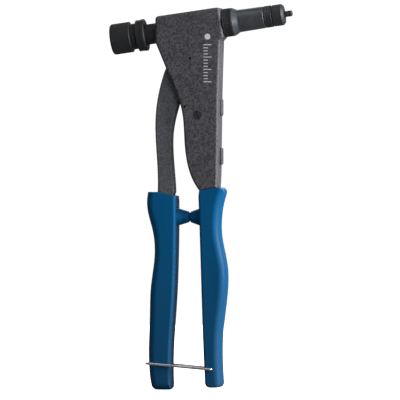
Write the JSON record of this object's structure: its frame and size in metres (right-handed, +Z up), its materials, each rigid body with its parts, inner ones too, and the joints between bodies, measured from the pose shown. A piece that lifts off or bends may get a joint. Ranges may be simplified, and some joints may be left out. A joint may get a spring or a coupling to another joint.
{
  "type": "hand riveter",
  "caption": "Long-handled hand riveter for blind rivet nuts: tilted barrel with threaded mandrel and rear knob, cast body and lever, moulded grips, wire latch.",
  "frame": {"origin": "middle of the nosepiece's end face, on the barrel's axis", "axes": "+Z up along the closed handles, +X out of the nose side, barrel axis tilted 8.1 degrees up from +X in the XZ plane, -Y the near face of the body"},
  "size_m": [0.1444, 0.0262, 0.3007],
  "materials": {
    "body_paint": "dark grey textured enamel on a casting",
    "lever_paint": "dark grey textured enamel on a casting",
    "blue_grip": "satin-gloss moulded blue vinyl",
    "dark_steel": "turned and blackened",
    "black_steel": "black oxide",
    "bare_steel": "turned",
    "hard_steel": "ground",
    "spring_steel": "drawn",
    "bronze": "sintered",
    "bright_wire": "plated wire"
  },
  "bodies": {
    "body": {"frame_body": "body_paint", "fixed_grip": "blue_grip", "nose_sleeve": "dark_steel", "front_lock_ring": "black_steel", "pivot_pin": "body_paint", "pivot_ring": "spring_steel", "cross_screw": "black_steel", "cross_nut": "black_steel", "spacer_tube": "bare_steel", "return_spring": "spring_steel"},
    "lever": {"moving_lever": "lever_paint", "pivot_bush": "bronze", "lever_grip": "blue_grip"},
    "draw": {"draw_sleeve": "dark_steel", "thrust_race_front": "black_steel"},
    "spindle_line": {"mandrel": "black_steel", "mandrel_coupling": "bare_steel", "spindle": "bare_steel", "snap_ring": "spring_steel", "sleeve_washer": "bare_steel", "thrust_cage": "black_steel", "thrust_needles": "hard_steel", "thrust_race_rear": "black_steel", "knob": "black_steel", "knob_washer": "bare_steel", "knob_screw": "black_steel"},
    "nosepiece": {"nosepiece": "dark_steel"},
    "nosepiece_nut": {"nosepiece_lock_nut": "black_steel"},
    "bail": {"wire_bail": "bright_wire"}
  },
  "joints": [
    {"name": "lever_swing", "type": "hinge", "parent": "body", "child": "lever", "pos_m": [-0.07295, 0, -0.03462], "axis": [0, 1, 0], "range_deg": [0, 15], "deforming": ["return_spring", "wire_bail"]},
    {"name": "draw_slide", "type": "slide", "parent": "body", "child": "draw", "axis": [0.99, 0, 0.1409], "range_m": [0, 0.00628]},
    {"name": "spindle_spin", "type": "hinge", "parent": "draw", "child": "spindle_line", "pos_m": [-0.1287, 0, -0.01832], "axis": [-0.99, 0, -0.1409], "continuous": true},
    {"name": "nosepiece_adjust", "type": "slide", "parent": "body", "child": "nosepiece", "axis": [0.99, 0, 0.1409], "range_m": [0, 0.0025]},
    {"name": "nosepiece_nut_spin", "type": "hinge", "parent": "body", "child": "nosepiece_nut", "pos_m": [-0.01267, 0, -0.0018], "axis": [0.99, 0, 0.1409], "continuous": true},
    {"name": "bail_swing", "type": "hinge", "parent": "body", "child": "bail", "pos_m": [-0.0558, 0, -0.2764], "axis": [0, -1, 0], "range_deg": [0, 245]}
  ],
  "couplings": [
    {"joint": "draw_slide", "follows": "lever_swing", "m_per_rad": 0.023932}
  ]
}
